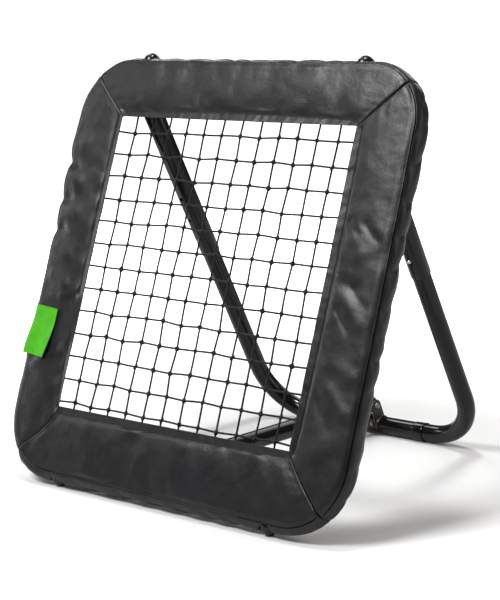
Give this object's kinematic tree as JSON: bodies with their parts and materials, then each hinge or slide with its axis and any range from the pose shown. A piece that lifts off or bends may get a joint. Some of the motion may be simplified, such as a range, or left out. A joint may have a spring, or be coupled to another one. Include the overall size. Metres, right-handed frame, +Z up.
{
  "type": "soccer rebounder",
  "caption": "Square ball-rebound net laced in a padded tube frame that leans back on a telescopic rear leg frame and one pivoted strut.",
  "frame": {"origin": "on the ground under the middle of the part's bounding box", "axes": "+X to the right seen from the front, +Y from the net towards the rear bar, +Z up"},
  "size_m": [0.8523, 0.6804, 0.8142],
  "materials": {
    "black_powder_coat": "gloss black powder coat on steel tube",
    "charcoal_coated_cloth": "satin coated woven polyester",
    "black_knotted_cord": "matt knotted polyester cord",
    "black_elastic_cord": "braided elastic cord",
    "black_rubber": "satin moulded rubber",
    "green_woven_label": "green coated cloth, blank",
    "black_nylon": "moulded nylon",
    "olive_zinc_plate": "olive passivated zinc plate",
    "zinc_plated_steel": "zinc plate",
    "bright_spring_steel": "bright plated spring steel"
  },
  "bodies": {
    "front_frame": {"frame_tube_upper": "black_powder_coat", "frame_tube_lower": "black_powder_coat", "frame_joint_screw_left": "zinc_plated_steel", "frame_joint_screw_right": "zinc_plated_steel", "net": "black_knotted_cord", "lacing_top": "black_elastic_cord", "lacing_right": "black_elastic_cord", "lacing_bottom": "black_elastic_cord", "lacing_left": "black_elastic_cord", "cover_top": "charcoal_coated_cloth", "cover_right": "charcoal_coated_cloth", "cover_bottom": "charcoal_coated_cloth", "cover_left": "charcoal_coated_cloth", "label_tab": "green_woven_label", "foot_top_left": "black_rubber", "foot_top_right": "black_rubber", "foot_bottom_left": "black_rubber", "foot_bottom_right": "black_rubber", "leg_bracket_left": "olive_zinc_plate", "leg_bracket_right": "olive_zinc_plate", "leg_bracket_screw_left_left": "zinc_plated_steel", "leg_bracket_screw_left_right": "zinc_plated_steel", "leg_bracket_screw_right_left": "zinc_plated_steel", "leg_bracket_screw_right_right": "zinc_plated_steel", "leg_pivot_left_bolt": "zinc_plated_steel", "leg_pivot_left_nut": "zinc_plated_steel", "leg_pivot_right_bolt": "zinc_plated_steel", "leg_pivot_right_nut": "zinc_plated_steel", "strut_bracket_front": "olive_zinc_plate", "strut_bracket_screw_left": "zinc_plated_steel", "strut_bracket_screw_right": "zinc_plated_steel", "strut_front_bolt": "zinc_plated_steel", "strut_front_nut": "zinc_plated_steel"},
    "leg_upper": {"leg_upper_tube_left": "black_powder_coat", "leg_upper_tube_right": "black_powder_coat", "leg_pivot_end_left": "black_nylon", "leg_pivot_end_right": "black_nylon"},
    "leg_lower": {"leg_lower_tube_left": "black_powder_coat", "leg_lower_tube_right": "black_powder_coat", "rear_bar": "black_powder_coat", "bar_screw_left": "zinc_plated_steel", "bar_screw_right": "zinc_plated_steel", "strut_bracket_rear": "olive_zinc_plate", "rear_bracket_screw_left": "zinc_plated_steel", "rear_bracket_screw_right": "zinc_plated_steel", "strut_rear_bolt": "zinc_plated_steel", "strut_rear_nut": "zinc_plated_steel", "button_spring_left": "bright_spring_steel", "button_spring_right": "bright_spring_steel"},
    "button_left": {"button_left": "bright_spring_steel"},
    "button_right": {"button_right": "bright_spring_steel"},
    "strut": {"strut_tube": "black_powder_coat", "strut_cap_front": "black_nylon", "strut_cap_rear": "black_nylon"}
  },
  "joints": [
    {"name": "leg_hinge", "type": "hinge", "parent": "front_frame", "child": "leg_upper", "pos_m": [0, -0.03655, 0.73869], "axis": [1, 0, 0], "range_deg": [0, 3.8]},
    {"name": "leg_slide", "type": "slide", "parent": "leg_upper", "child": "leg_lower", "axis": [0, -0.4447, 0.8957], "range_m": [0, 0.102], "deforming": ["button_left", "button_right"]},
    {"name": "button_press_left", "type": "slide", "parent": "leg_lower", "child": "button_left", "axis": [0, 0.8957, 0.4447], "range_m": [0, 0.005], "stiffness_N_per_m": 1500, "springref_m": -0.001, "deforming": ["button_spring_left"]},
    {"name": "button_press_right", "type": "slide", "parent": "leg_lower", "child": "button_right", "axis": [0, 0.8957, 0.4447], "range_m": [0, 0.005], "stiffness_N_per_m": 1500, "springref_m": -0.001, "deforming": ["button_spring_right"]},
    {"name": "strut_hinge", "type": "hinge", "parent": "front_frame", "child": "strut", "pos_m": [0, -0.29997, 0.07506], "axis": [1, 0, 0], "range_deg": [0, 10.8]}
  ],
  "couplings": [
    {"joint": "leg_hinge", "follows": "leg_slide", "rad_per_m": 0.64342},
    {"joint": "strut_hinge", "follows": "leg_slide", "rad_per_m": 1.8255}
  ]
}
